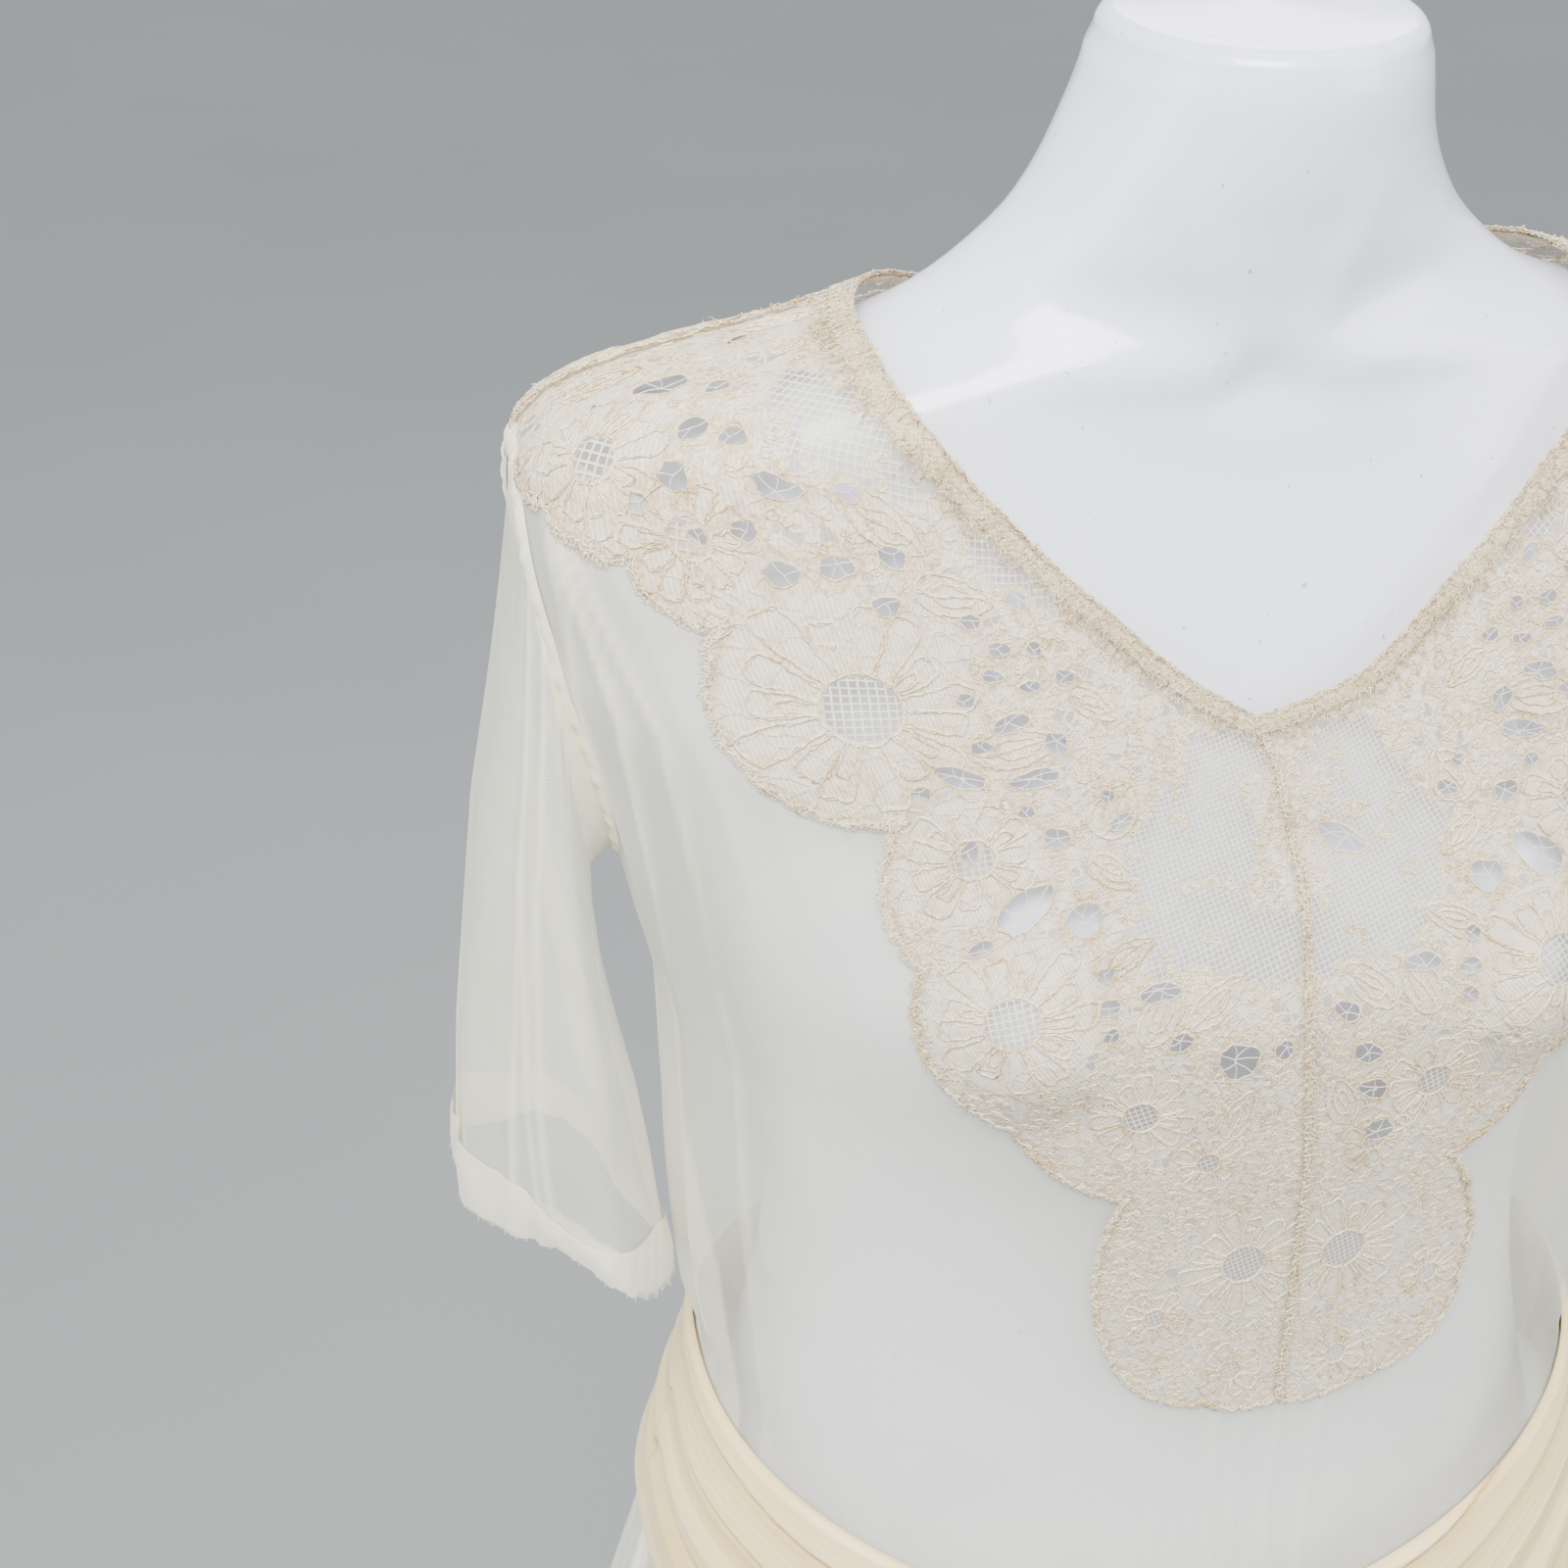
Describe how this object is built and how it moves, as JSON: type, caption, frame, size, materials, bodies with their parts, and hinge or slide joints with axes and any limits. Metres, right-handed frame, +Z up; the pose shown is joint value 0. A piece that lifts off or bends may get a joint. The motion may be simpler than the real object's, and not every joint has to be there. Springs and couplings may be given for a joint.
{
  "type": "flapper dress on dress form",
  "caption": "Sheer chiffon dress with a scalloped lace yoke, V neck, turned-up cuffs and a tied satin sash, worn by a smooth headless form on a pole and round base.",
  "frame": {"origin": "on the floor, at the middle of the round base's underside", "axes": "+Z up, -Y is the front of the dress, +X to the viewer's right"},
  "size_m": [0.6311, 0.5545, 1.494],
  "materials": {
    "gloss_shell": "glossy cool white fibreglass shell",
    "polished_metal": "polished steel tube",
    "painted_base": "satin white paint on steel",
    "chiffon": "sheer silk chiffon with a fine slanting weave",
    "lace_thread": "cream silk lace with shiny outline threads",
    "lace_band": "gathered tan-gold lace and net binding",
    "satin": "soft cream satin, bright on the folds"
  },
  "bodies": {
    "root": {"stand_base": "painted_base", "stand_pole": "polished_metal", "form_torso": "gloss_shell", "bodice_front": "chiffon", "bodice_back": "chiffon", "lace_front_left": "lace_thread", "lace_front_right": "lace_thread", "lace_back": "lace_thread", "neck_band_left": "lace_band", "neck_band_right": "lace_band", "neck_band_back": "lace_band", "sleeve_left": "chiffon", "sleeve_right": "chiffon", "cuff_left": "chiffon", "cuff_right": "chiffon", "skirt_front": "chiffon", "skirt_back": "chiffon", "sash_front": "satin", "sash_back_right": "satin", "sash_back_left": "satin", "sash_knot": "satin", "sash_tail_left": "satin", "sash_tail_right": "satin"}
  },
  "joints": []
}
